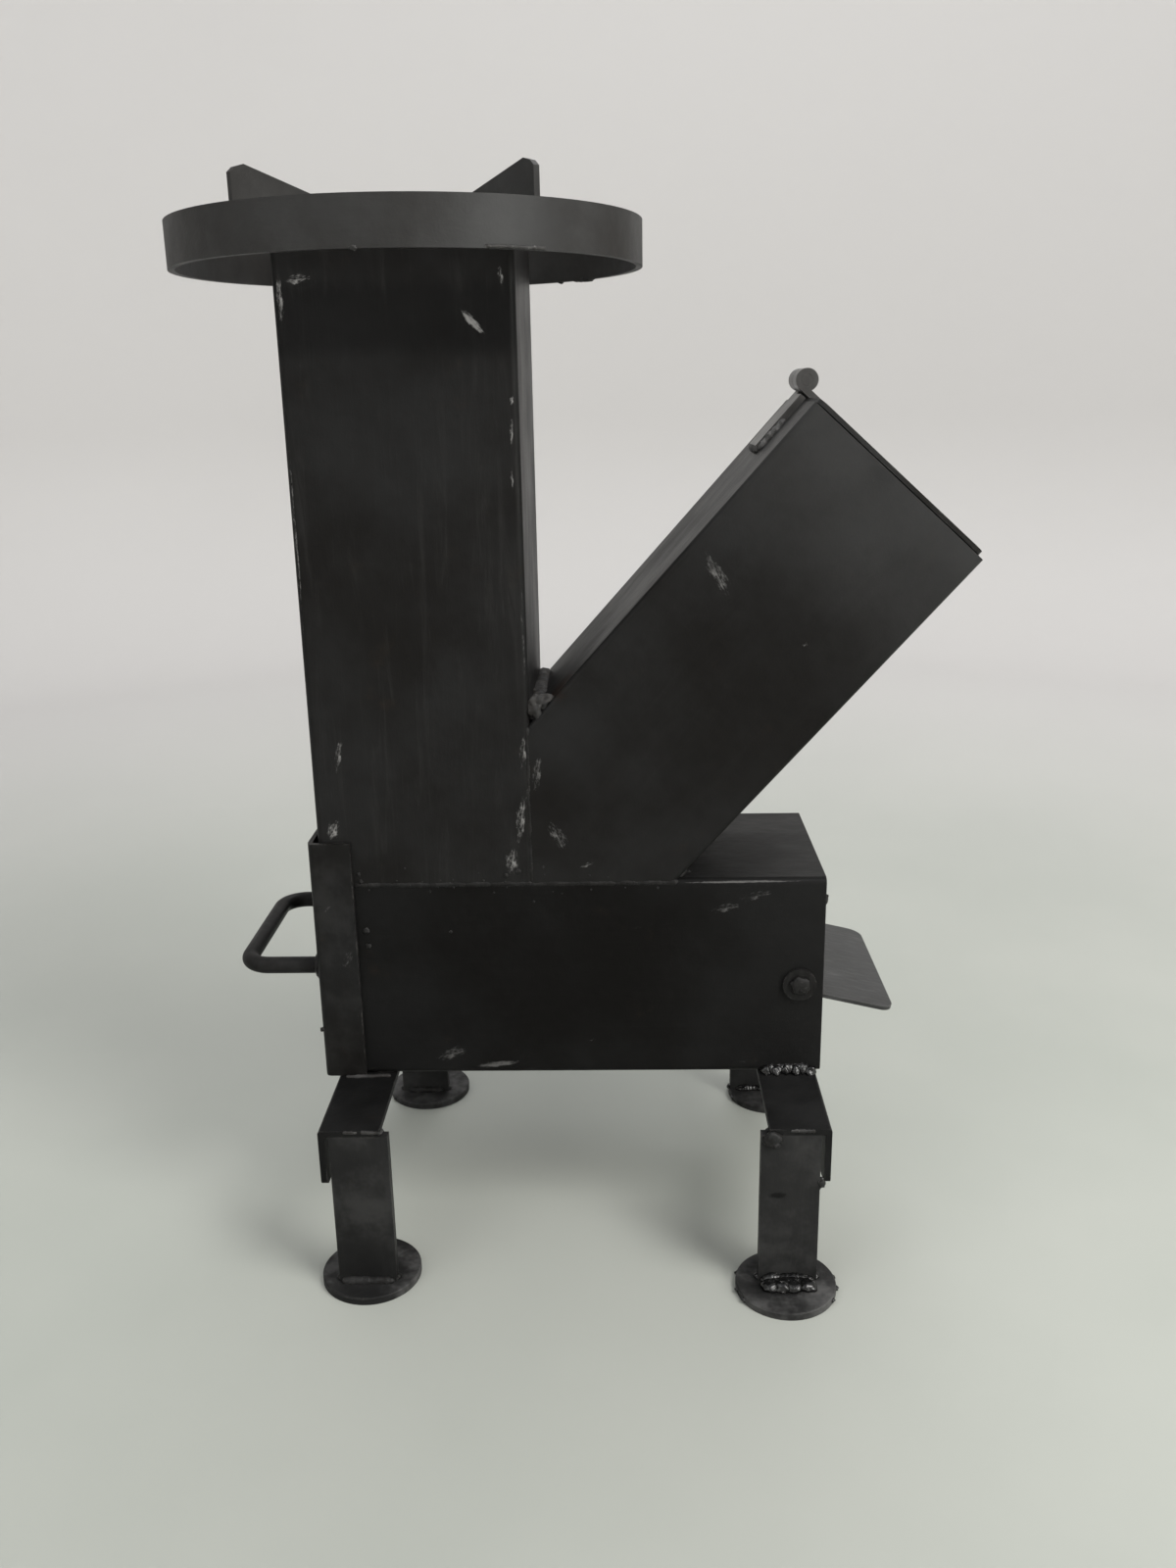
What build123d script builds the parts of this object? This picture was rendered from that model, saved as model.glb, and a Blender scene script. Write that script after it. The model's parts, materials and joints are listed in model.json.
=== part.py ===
from build123d import *
import math
import os

# Rocket stove with a K-shaped body, welded from one size of square steel tube.
# Millimetres.  While it is modelled, X = 0 is the left face of the chimney and
# of the base tube, Y = 0 is the middle plane of the tubes, -Y is the front, and
# Z = 0 is the floor.  place_on_origin() then moves the whole stove sideways so
# that the origin lies on the floor under the middle of its overall box.

# ---- square tube -----------------------------------------------------------
TUBE = 100.0                # outside width of the tube
WALL = 2.0                  # wall thickness
CORNER = 3.0                # outside corner radius
HALF = TUBE / 2
BORE = TUBE - 2 * WALL      # inside width
COPE_EDGE = 1.0             # how far a coped end wraps round a rounded corner

# ---- body ------------------------------------------------------------------
BASE_LENGTH = 236.0
BASE_BOTTOM = 83.0          # height of the base tube above the floor
BASE_TOP = BASE_BOTTOM + TUBE
CHIMNEY_TOP = 470.0
FEED_ANGLE = 48.0           # slope of the feed tube above the horizontal
CROTCH = 257.6              # height where the feed tube's top meets the chimney
FEED_TOP_LENGTH = 185.0     # top edge of the feed tube, from crotch to mouth
FEED_STOCK = 3 * TUBE       # length of tube that the coped feed tube is cut from
THROAT_MARGIN = 6.0         # rim left round the hole in the base tube's top
THROAT_LENGTH = 154.0
THROAT_WIDTH = 84.0

# ---- fire grate ------------------------------------------------------------
GRATE_BARS = 8
GRATE_BAR = 8.0             # diameter
GRATE_BAR_LENGTH = 91.0
GRATE_FIRST = 16.0          # middle of the first bar, from the chimney's left face
GRATE_PITCH = 19.0

# ---- pot ring and supports -------------------------------------------------
RING_RADIUS = 103.0
RING_THICK = 3.0
RING_HEIGHT = 19.0
RING_BOTTOM = 453.0
SUPPORT_THICK = 3.0
SUPPORT_INNER = 44.0        # all support radii are from the chimney's axis
SUPPORT_PEAK = 79.5
SUPPORT_SHOULDER = 83.5
SUPPORT_OUTER = 85.7
SUPPORT_TOP = 489.2
SUPPORT_SHOULDER_TOP = 488.0
SUPPORT_OUTER_TOP = 486.0
SUPPORT_SLOPE = 0.283       # fall of the pot edge towards the middle
SUPPORT_TONGUE_BOTTOM = 467.5
SUPPORT_TONGUE_TOP = 472.0

# ---- legs ------------------------------------------------------------------
RAIL = 28.0                 # angle section, both flanges
RAIL_THICK = 3.0
RAIL_TOE = 3.0              # rounding of the hanging flange's lower corners
RAIL_HEEL = 1.5             # rounding along the outside of the bend
RAIL_INSET = 2.0            # from each end of the base tube
RAIL_FRONT = -102.0
RAIL_REAR = 76.0
LEG_WIDTH = 27.0
LEG_THICK = 5.0
LEG_INSET = 20.2            # middle of a leg, from the end of the base tube
FOOT_RADIUS = 23.2
FOOT_THICK = 3.5
FOOT_CHAMFER = 0.5
LEG_SHIFT = {               # how far a leg's middle is out of line, along X
    "front_left": 0.0,
    "front_right": 0.0,
    "rear_left": 3.0,
    "rear_right": 1.5,
}
FOOT_SHIFT = {              # middle of a foot disc, along X and Y from the middle of its leg
    "front_left": (0.0, 8.0),
    "front_right": (-0.8, -2.7),
    "rear_left": (1.5, 5.5),
    "rear_right": (9.0, -1.0),
}

# ---- ash door --------------------------------------------------------------
DOOR_THICK = 2.0
DOOR_SIDE_GAP = 0.5         # between the door's flanges and the tube
DOOR_END_GAP = 2.4          # between the door and the end of the base tube
DOOR_FLANGE = 20.0          # overall depth of a side flange
DOOR_BEND = 3.0             # outside bend radius
DOOR_BOTTOM_GAP = 0.4       # above the leg rails
DOOR_ABOVE_TUBE = 20.0
HANDLE_ROD = 8.0
HANDLE_SPACING = 85.0
HANDLE_REACH = 37.3         # from the door to the middle of the grip
HANDLE_HEIGHT = 138.0
HANDLE_BEND = 12.0

# ---- feed lid and hinge, in the mouth's own frame --------------------------
LID_SIZE = 97.0
LID_THICK = 2.0
LID_GAP = 0.6
LID_CORNER = 5.0
LID_SHIFT = 0.5             # towards the hinge
LEAF_LENGTH = 28.0
LEAF_WIDTH = 26.0
LEAF_THICK = 3.0
LEAF_STOP = 1.4             # how far the feed leaf's plate passes the mouth
KNUCKLE_RADIUS = 5.0
KNUCKLE_GAP = 0.4
PIN_RADIUS = 2.5
PIN_CLEARANCE = 0.06

# ---- air damper ------------------------------------------------------------
DAMPER_X = 224.7
DAMPER_Z = 129.8
DAMPER_TILT = 13.4          # outer edge below the level position
DAMPER_OUTER = 48.5         # reach of the plate each way from the spindle
DAMPER_INNER = 43.5
DAMPER_WIDTH = 94.0
DAMPER_THICK = 2.0
DAMPER_CORNER = 7.0
SPINDLE_RADIUS = 4.0
SPINDLE_CLEARANCE = 0.05
SPINDLE_FRONT = 3.2         # how far it stands out of the front wall
SPINDLE_REAR = 12.0
SPINDLE_CHAMFER = 0.8
WASHER_RADIUS = 8.0
WASHER_THICK = 1.6
WASHER_GAP = 0.3
NUT_ACROSS_FLATS = 13.0
NUT_HEIGHT = 6.5

# ---- feed tube frame: x along Y, y across the tube, z out of the mouth ------
FEED_COS = math.cos(math.radians(FEED_ANGLE))
FEED_SIN = math.sin(math.radians(FEED_ANGLE))
MOUTH_X = TUBE + FEED_TOP_LENGTH * FEED_COS + HALF * FEED_SIN
MOUTH_Z = CROTCH + FEED_TOP_LENGTH * FEED_SIN - HALF * FEED_COS
MOUTH = Plane(origin=(MOUTH_X, 0, MOUTH_Z), x_dir=(0, 1, 0), z_dir=(FEED_COS, 0, FEED_SIN))
HINGE_Y = HALF + KNUCKLE_RADIUS
HINGE_Z = LID_GAP + LID_THICK + KNUCKLE_RADIUS


def block(x0, x1, y0, y1, z0, z1):
    """A plain box between two corners."""
    middle = Pos((x0 + x1) / 2, (y0 + y1) / 2, (z0 + z1) / 2)
    return middle * Box(x1 - x0, y1 - y0, z1 - z0)


def prism(plane, width, radius, length):
    """A square bar with rounded corners, along the plane's normal."""
    return extrude(plane * RectangleRounded(width, width, radius), amount=length)


def outside(plane, length):
    return prism(plane, TUBE, CORNER, length)


def inside(plane, length):
    return prism(plane, BORE, CORNER - WALL, length)


def base_plane():
    return Plane(origin=(0, 0, BASE_BOTTOM + HALF), x_dir=(0, 1, 0), z_dir=(1, 0, 0))


def chimney_plane(height):
    return Plane(origin=(HALF, 0, height), x_dir=(1, 0, 0), z_dir=(0, 0, 1))


def feed_plane(length):
    """The mouth's plane, moved back down the feed tube."""
    return MOUTH.offset(-length)


def base_tube():
    """Horizontal air and ash chamber, with the throat under the fire in its top."""
    tube = outside(base_plane(), BASE_LENGTH) - inside(base_plane(), BASE_LENGTH)
    throat_middle = Pos(THROAT_MARGIN + THROAT_LENGTH / 2, 0, BASE_TOP - HALF)
    tube -= throat_middle * extrude(RectangleRounded(THROAT_LENGTH, THROAT_WIDTH, CORNER), amount=TUBE)
    hole = Cylinder(SPINDLE_RADIUS + SPINDLE_CLEARANCE, 2 * TUBE, rotation=(90, 0, 0))
    return tube - Pos(DAMPER_X, 0, DAMPER_Z) * hole


def chimney_tube():
    """Upright flue, coped over the base tube and open to the feed tube."""
    bottom = BASE_TOP - COPE_EDGE
    height = CHIMNEY_TOP - bottom
    tube = outside(chimney_plane(bottom), height) - inside(chimney_plane(bottom), height)
    return tube - outside(base_plane(), BASE_LENGTH) - inside(feed_plane(FEED_STOCK), FEED_STOCK)


def feed_tube():
    """Sloping tube for the firewood, coped to the chimney and to the base tube."""
    low_end = feed_plane(FEED_STOCK)
    tube = outside(low_end, FEED_STOCK) - inside(low_end, FEED_STOCK)
    tube -= block(-TUBE, TUBE - COPE_EDGE, -TUBE, TUBE, 0, CHIMNEY_TOP)
    tube -= block(0, FEED_STOCK, -TUBE, TUBE, 0, BASE_TOP - COPE_EDGE)
    return tube - outside(chimney_plane(0), CHIMNEY_TOP) - outside(base_plane(), BASE_LENGTH)


def fire_grate():
    """Round bars lying across the throat; each is welded down at its ends."""
    bars = []
    for index in range(GRATE_BARS):
        middle = Pos(GRATE_FIRST + index * GRATE_PITCH, 0, BASE_TOP + GRATE_BAR / 2)
        bars.append(middle * Cylinder(GRATE_BAR / 2, GRATE_BAR_LENGTH, rotation=(90, 0, 0)))
    return Compound(children=bars)


def pot_ring():
    """Flat bar rolled to a hoop round the top of the chimney."""
    hoop = Cylinder(RING_RADIUS, RING_HEIGHT) - Cylinder(RING_RADIUS - RING_THICK, RING_HEIGHT)
    return Pos(HALF, 0, RING_BOTTOM + RING_HEIGHT / 2) * hoop


def pot_support(angle):
    """Plate on a corner of the chimney: its tongue holds the ring, its top the pot."""
    corner = HALF * math.sqrt(2) - CORNER * (math.sqrt(2) - 1)
    inner_top = SUPPORT_TOP - SUPPORT_SLOPE * (SUPPORT_PEAK - SUPPORT_INNER)
    outline = [
        (SUPPORT_INNER, CHIMNEY_TOP),
        (corner, CHIMNEY_TOP),
        (corner, SUPPORT_TONGUE_BOTTOM),
        (RING_RADIUS - RING_THICK, SUPPORT_TONGUE_BOTTOM),
        (RING_RADIUS - RING_THICK, SUPPORT_TONGUE_TOP),
        (SUPPORT_OUTER, SUPPORT_TONGUE_TOP),
        (SUPPORT_OUTER, SUPPORT_OUTER_TOP),
        (SUPPORT_SHOULDER, SUPPORT_SHOULDER_TOP),
        (SUPPORT_PEAK, SUPPORT_TOP),
        (SUPPORT_INNER, inner_top),
    ]
    plate = extrude(Plane.XZ * make_face(Polyline(*outline, close=True)), amount=SUPPORT_THICK / 2, both=True)
    plate -= Pos(0, 0, CHIMNEY_TOP / 2) * chimney_core()
    plate &= Pos(0, 0, CHIMNEY_TOP) * Cylinder(RING_RADIUS - RING_THICK, TUBE)
    return Pos(HALF, 0, 0) * Rot(0, 0, angle) * plate


def chimney_core():
    """The chimney's outer shape about its own axis, turned so that a corner is at +X."""
    return Rot(0, 0, 45) * extrude(RectangleRounded(TUBE, TUBE, CORNER), amount=CHIMNEY_TOP / 2, both=True)


def leg_rail(outer_face, inward):
    """Angle bar across the underside of the base tube; inward is +1 or -1."""
    far = outer_face + inward * RAIL
    upright = outer_face + inward * RAIL_THICK
    top = block(min(outer_face, far), max(outer_face, far), RAIL_FRONT, RAIL_REAR,
                BASE_BOTTOM - RAIL_THICK, BASE_BOTTOM)
    side = block(min(outer_face, upright), max(outer_face, upright), RAIL_FRONT, RAIL_REAR,
                 BASE_BOTTOM - RAIL, BASE_BOTTOM)
    rail = top + side
    toes = rail.edges().filter_by(Axis.X).group_by(Axis.Z)[0]
    rail = fillet(toes, RAIL_TOE)
    heel = rail.edges().filter_by(Axis.Y).group_by(Axis.Z)[-1].sort_by(Axis.X)
    return fillet(heel[0] if inward > 0 else heel[-1], RAIL_HEEL)


def leg(middle_x, outer_y, inward):
    """Upright flat bar between a rail and a foot; inward is +1 or -1 along Y."""
    inner_y = outer_y + inward * LEG_THICK
    return block(middle_x - LEG_WIDTH / 2, middle_x + LEG_WIDTH / 2, min(outer_y, inner_y),
                 max(outer_y, inner_y), FOOT_THICK, BASE_BOTTOM - RAIL_THICK)


def foot_middle(leg_x, leg_outer_y, inward, corner):
    shift_x, shift_y = FOOT_SHIFT[corner]
    return leg_x + shift_x, leg_outer_y + inward * LEG_THICK / 2 + shift_y


def foot_disc(middle_x, middle_y):
    disc = Cylinder(FOOT_RADIUS, FOOT_THICK)
    disc = chamfer(disc.edges().group_by(Axis.Z)[-1], FOOT_CHAMFER)
    return Pos(middle_x, middle_y, FOOT_THICK / 2) * disc


def ash_door():
    """Folded plate over the open left end; its side flanges slide on the tubes."""
    outer = HALF + DOOR_SIDE_GAP + DOOR_THICK
    face = -DOOR_END_GAP - DOOR_THICK
    edge = face + DOOR_FLANGE
    bottom = BASE_BOTTOM + DOOR_BOTTOM_GAP
    top = BASE_TOP + DOOR_ABOVE_TUBE
    path = FilletPolyline((edge, -outer), (face, -outer), (face, outer), (edge, outer), radius=DOOR_BEND)
    inner_path = FilletPolyline((edge, -outer + DOOR_THICK), (face + DOOR_THICK, -outer + DOOR_THICK),
                                (face + DOOR_THICK, outer - DOOR_THICK), (edge, outer - DOOR_THICK),
                                radius=DOOR_BEND - DOOR_THICK)
    ends = [Line((edge, side * outer), (edge, side * (outer - DOOR_THICK))) for side in (-1, 1)]
    section = make_face([path, inner_path] + ends)
    return extrude(Pos(0, 0, bottom) * section, amount=top - bottom)


def ash_door_handle():
    """Bent round rod, lying level across the door."""
    face = -DOOR_END_GAP - DOOR_THICK
    grip = face - HANDLE_REACH
    side = HANDLE_SPACING / 2
    path = FilletPolyline((face, -side, HANDLE_HEIGHT), (grip, -side, HANDLE_HEIGHT),
                          (grip, side, HANDLE_HEIGHT), (face, side, HANDLE_HEIGHT), radius=HANDLE_BEND)
    start = Plane(origin=(face, -side, HANDLE_HEIGHT), z_dir=(-1, 0, 0))
    return sweep(start * Circle(HANDLE_ROD / 2), path=path)


def feed_lid():
    """Flat plate over the mouth of the feed tube."""
    plate = extrude(RectangleRounded(LID_SIZE, LID_SIZE, LID_CORNER), amount=LID_THICK)
    return MOUTH * (Pos(0, LID_SHIFT, LID_GAP) * plate)


def hinge_knuckle(x0, x1, bore):
    """One barrel length of the lid hinge, in the mouth's frame."""
    middle = Pos((x0 + x1) / 2, HINGE_Y, HINGE_Z)
    ring = Cylinder(KNUCKLE_RADIUS, x1 - x0, rotation=(0, 90, 0))
    return middle * (ring - Cylinder(bore, x1 - x0, rotation=(0, 90, 0)))


def hinge_pin_hole(radius):
    return Pos(0, HINGE_Y, HINGE_Z) * Cylinder(radius, 2 * LEAF_WIDTH, rotation=(0, 90, 0))


def feed_hinge_leaf():
    """Leaf on the feed tube's top face, with the rear knuckle; it grips the pin."""
    plate = block(-LEAF_WIDTH / 2, LEAF_WIDTH / 2, HALF, HALF + LEAF_THICK, -LEAF_LENGTH, LEAF_STOP)
    near = KNUCKLE_GAP / 2
    far = LEAF_WIDTH / 2
    tongue = block(near, far, HALF, HALF + LEAF_THICK, 0, HINGE_Z)
    return MOUTH * (plate + tongue + hinge_knuckle(near, far, PIN_RADIUS) - hinge_pin_hole(PIN_RADIUS))


def lid_hinge_leaf():
    """Leaf on the lid's outer face, with the front knuckle; it turns on the pin."""
    lid_edge = LID_SHIFT + LID_SIZE / 2
    back = LID_GAP + LID_THICK
    plate = block(-LEAF_WIDTH / 2, LEAF_WIDTH / 2, lid_edge - LEAF_LENGTH, lid_edge, back, back + LEAF_THICK)
    near = -KNUCKLE_GAP / 2
    far = -LEAF_WIDTH / 2
    tongue = block(far, near, lid_edge - LEAF_THICK, HINGE_Y, back, back + LEAF_THICK)
    bore = PIN_RADIUS + PIN_CLEARANCE
    return MOUTH * (plate + tongue + hinge_knuckle(far, near, bore) - hinge_pin_hole(bore))


def hinge_pin():
    pin = Cylinder(PIN_RADIUS, LEAF_WIDTH, rotation=(0, 90, 0))
    return MOUTH * (Pos(0, HINGE_Y, HINGE_Z) * pin)


def on_spindle(shape):
    """Put a damper piece, modelled about the spindle, in place at its rest tilt."""
    return Pos(DAMPER_X, 0, DAMPER_Z) * Rot(0, DAMPER_TILT, 0) * shape


def across(radius, y0, y1):
    """A round bar along Y about the spindle's axis."""
    return Pos(0, (y0 + y1) / 2, 0) * Cylinder(radius, y1 - y0, rotation=(90, 0, 0))


def damper_spindle():
    rod = across(SPINDLE_RADIUS, -HALF - SPINDLE_FRONT, HALF + SPINDLE_REAR)
    return on_spindle(chamfer(rod.edges().filter_by(GeomType.CIRCLE), SPINDLE_CHAMFER))


def damper_plate():
    """Butterfly plate, welded under the spindle."""
    length = DAMPER_OUTER + DAMPER_INNER
    plate = extrude(RectangleRounded(length, DAMPER_WIDTH, DAMPER_CORNER), amount=-DAMPER_THICK)
    return on_spindle(Pos((DAMPER_OUTER - DAMPER_INNER) / 2, 0, -SPINDLE_RADIUS) * plate)


def damper_washer(side):
    """Washer outside the front (-1) or rear (+1) wall."""
    near = side * (HALF + WASHER_GAP)
    far = near + side * WASHER_THICK
    span = (min(near, far), max(near, far))
    return on_spindle(across(WASHER_RADIUS, *span) - across(SPINDLE_RADIUS, *span))


def damper_nut():
    near = HALF + WASHER_GAP + WASHER_THICK
    hexagon = RegularPolygon(NUT_ACROSS_FLATS / 2, 6, major_radius=False) - Circle(SPINDLE_RADIUS)
    plane = Plane(origin=(0, near, 0), x_dir=(1, 0, 0), z_dir=(0, 1, 0))
    return on_spindle(extrude(plane * hexagon, amount=NUT_HEIGHT))


def leg_nodes():
    """Two rails, four legs and four feet."""
    nodes = {}
    for side, end, inward in (("left", 0, 1), ("right", BASE_LENGTH, -1)):
        nodes[f"leg_rail_{side}"] = leg_rail(end + inward * RAIL_INSET, inward)
        for place, outer_y, inward_y in (("front", RAIL_FRONT, 1), ("rear", RAIL_REAR, -1)):
            corner = f"{place}_{side}"
            middle_x = end + inward * LEG_INSET + LEG_SHIFT[corner]
            nodes[f"leg_{corner}"] = leg(middle_x, outer_y, inward_y)
            nodes[f"foot_{corner}"] = foot_disc(*foot_middle(middle_x, outer_y, inward_y, corner))
    return nodes


def stove_nodes():
    """Every separate piece of the stove, by name."""
    nodes = {
        "base_tube": base_tube(),
        "chimney_tube": chimney_tube(),
        "feed_tube": feed_tube(),
        "fire_grate": fire_grate(),
        "pot_ring": pot_ring(),
        "ash_door": ash_door(),
        "ash_door_handle": ash_door_handle(),
        "feed_lid": feed_lid(),
        "feed_hinge_leaf": feed_hinge_leaf(),
        "lid_hinge_leaf": lid_hinge_leaf(),
        "hinge_pin": hinge_pin(),
        "damper_plate": damper_plate(),
        "damper_spindle": damper_spindle(),
        "damper_washer_front": damper_washer(-1),
        "damper_washer_rear": damper_washer(1),
        "damper_nut": damper_nut(),
    }
    corners = {"rear_right": 45, "rear_left": 135, "front_left": 225, "front_right": 315}
    for corner, angle in corners.items():
        nodes[f"pot_support_{corner}"] = pot_support(angle)
    nodes.update(leg_nodes())
    return nodes


def origin_shift(nodes):
    """The move that puts the middle of the stove's overall box over the origin."""
    boxes = [shape.bounding_box() for shape in nodes.values()]
    mid_x = (min(box.min.X for box in boxes) + max(box.max.X for box in boxes)) / 2
    mid_y = (min(box.min.Y for box in boxes) + max(box.max.Y for box in boxes)) / 2
    return Pos(-mid_x, -mid_y, 0)


def place_on_origin(nodes):
    shift = origin_shift(nodes)
    return {name: shift * shape for name, shape in nodes.items()}


def write_parts(nodes):
    os.makedirs("parts", exist_ok=True)
    for name, shape in nodes.items():
        export_step(shape, f"parts/{name}.step")


if __name__ == "__main__":
    write_parts(place_on_origin(stove_nodes()))
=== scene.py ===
import json
import math
import random

import bmesh
import bpy
from mathutils import Matrix, Vector, noise


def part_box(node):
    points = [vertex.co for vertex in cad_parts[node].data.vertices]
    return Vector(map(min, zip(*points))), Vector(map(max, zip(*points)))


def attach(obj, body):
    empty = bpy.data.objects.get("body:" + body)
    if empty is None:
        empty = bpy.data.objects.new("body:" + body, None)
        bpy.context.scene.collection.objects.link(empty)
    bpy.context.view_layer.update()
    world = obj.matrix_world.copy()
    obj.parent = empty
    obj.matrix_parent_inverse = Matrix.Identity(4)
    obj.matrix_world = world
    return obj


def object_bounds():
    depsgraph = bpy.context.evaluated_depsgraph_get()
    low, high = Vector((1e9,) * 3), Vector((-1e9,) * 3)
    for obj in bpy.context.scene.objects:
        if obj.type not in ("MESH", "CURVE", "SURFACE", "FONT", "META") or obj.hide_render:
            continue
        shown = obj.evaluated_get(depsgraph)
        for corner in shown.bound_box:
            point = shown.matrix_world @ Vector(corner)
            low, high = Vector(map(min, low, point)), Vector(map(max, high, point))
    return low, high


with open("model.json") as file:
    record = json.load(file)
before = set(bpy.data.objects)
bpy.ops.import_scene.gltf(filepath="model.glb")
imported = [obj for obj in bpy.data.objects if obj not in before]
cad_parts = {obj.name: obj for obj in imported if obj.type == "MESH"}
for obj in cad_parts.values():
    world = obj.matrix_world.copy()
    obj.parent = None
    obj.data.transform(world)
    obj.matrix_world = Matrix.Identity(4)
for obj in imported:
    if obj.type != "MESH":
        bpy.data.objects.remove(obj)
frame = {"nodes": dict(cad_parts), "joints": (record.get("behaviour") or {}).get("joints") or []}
cad_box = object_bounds()

# Rocket stove, welded from square steel tube and painted black.  Every CAD piece is shown
# as it is; this script adds paint, wear, soot and rust, some painted sheen, shade and
# glints, and all the weld beads.
# Beads and marks are placed in millimetres from the stove's own corner: x from the left
# face of the base tube, y from the tubes' middle plane (-y is the front), z from the floor.

MM = 0.001


# ---- the stove's own coordinates ---------------------------------------------------------
def corner_of_stove():
    low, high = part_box("base_tube")
    return Vector((low.x, (low.y + high.y) / 2, 0))


CORNER = corner_of_stove()


def at(x, y, z):
    """A point given in stove millimetres, in the row frame's metres."""
    return CORNER + Vector((x, y, z)) * MM


def span(node):
    """Lowest and highest corner of a CAD node, in stove millimetres."""
    low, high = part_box(node)
    return (low - CORNER) / MM, (high - CORNER) / MM


base_low, base_high = span("base_tube")
chimney_low, chimney_high = span("chimney_tube")
feed_high = span("feed_tube")[1]
ring_low, ring_high = span("pot_ring")
door_low, door_high = span("ash_door")
handle_low, handle_high = span("ash_door_handle")
spindle_low, spindle_high = span("damper_spindle")
support_low = span("pot_support_front_right")[0]

FRONT = base_low.y
REAR = base_high.y
SEAM = chimney_low.z                            # height where chimney and feed are coped
TUBE = chimney_high.x - chimney_low.x
CORNER_RADIUS = 3                               # outside corners of the square tube
CHIMNEY_AXIS = (chimney_low.x + chimney_high.x) / 2
RING_RADIUS = (ring_high.x - ring_low.x) / 2
RING_THICK = 3
FEED_ANGLE = math.radians(48)                   # above the horizontal
FEED_ALONG = Vector((math.cos(FEED_ANGLE), 0, math.sin(FEED_ANGLE)))
FEED_OUT = Vector((-math.sin(FEED_ANGLE), 0, math.cos(FEED_ANGLE)))
LID_HINGE = next(joint for joint in frame["joints"] if joint["name"] == "feed_lid_hinge")
HINGE = (Vector(LID_HINGE["pos_m"]) - CORNER) / MM
KNUCKLE = 5.0                                   # radius of the hinge barrel
LID_OUTSIDE = 2.6                               # from the mouth to the lid's outer face
LEAF_LENGTH, LEAF_WIDTH = 28, 26                # of either hinge leaf
DAMPER_TILT = math.radians(13.4)

# Middle of the mouth's upper edge, the point where the feed tube's top face meets the
# chimney, and the x where its underside meets the base tube's top.
MOUTH_TOP = HINGE - FEED_OUT * KNUCKLE - FEED_ALONG * (KNUCKLE + LID_OUTSIDE)
MOUTH_BOTTOM = MOUTH_TOP - FEED_OUT * TUBE
CROTCH = MOUTH_TOP - FEED_ALONG * ((MOUTH_TOP.x - chimney_high.x) / FEED_ALONG.x)
FEED_HEEL = feed_high.x - (MOUTH_BOTTOM.z - base_high.z) / math.tan(FEED_ANGLE)


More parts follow.
